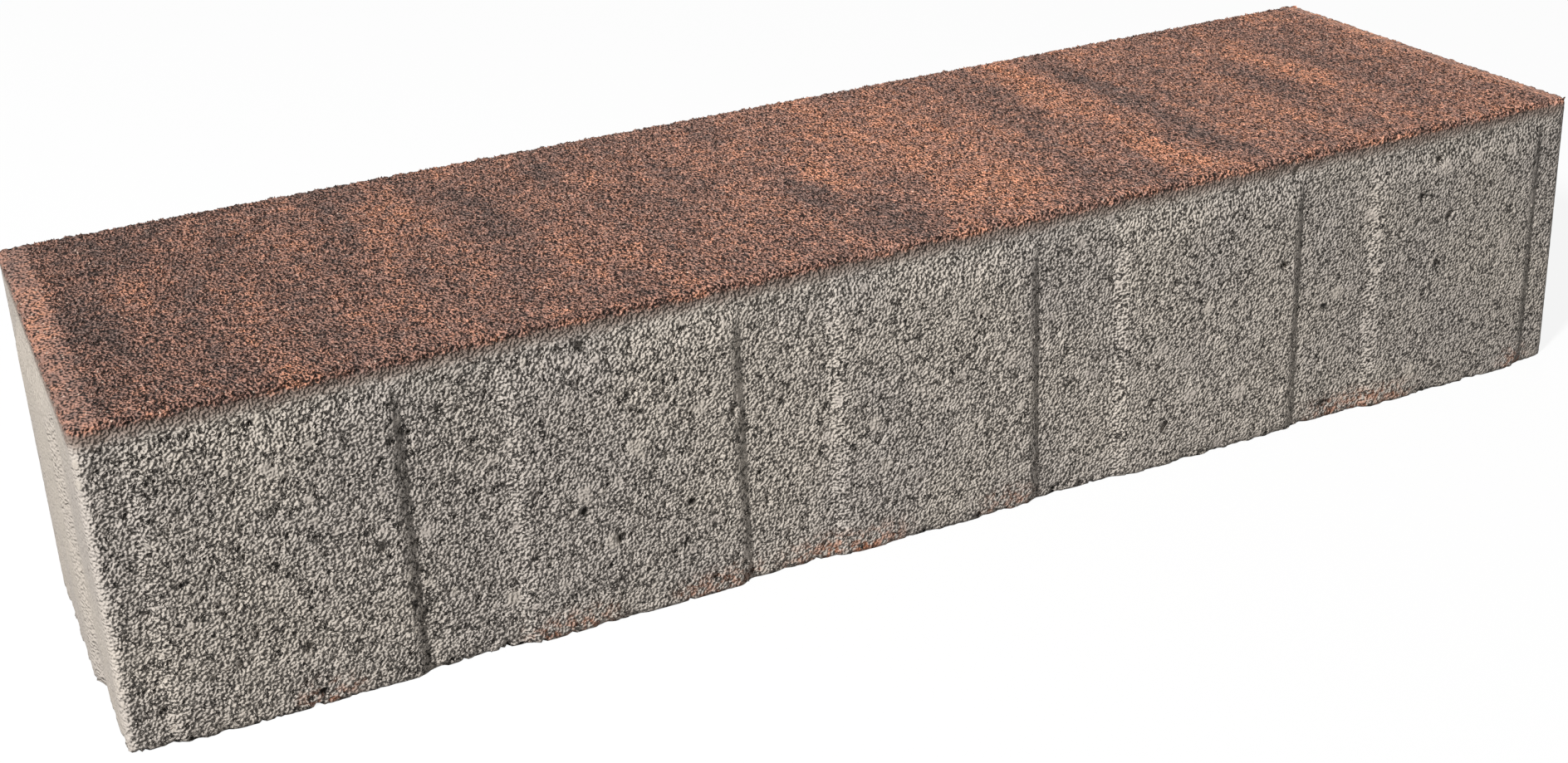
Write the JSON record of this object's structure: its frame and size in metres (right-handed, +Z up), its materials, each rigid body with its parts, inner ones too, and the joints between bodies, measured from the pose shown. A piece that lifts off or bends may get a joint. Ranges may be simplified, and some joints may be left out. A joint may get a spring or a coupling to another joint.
{
  "type": "concrete edging kerb",
  "caption": "Straight pressed-concrete edging kerb with a coloured fine-grained top, bevelled ends and shallow spacer pads on its upright sides; laid end to end to edge paving.",
  "frame": {"origin": "middle of the bed, the flat underside that the kerb lies on", "axes": "+X along the kerb, +Y across it towards the back long side, +Z up towards the coloured top"},
  "size_m": [0.5, 0.15, 0.097],
  "materials": {
    "concrete": "rough pitted grey pressed concrete, with the top face coloured in a rust, brown and dark brown mix"
  },
  "bodies": {
    "root": {"kerb": "concrete"}
  },
  "joints": []
}
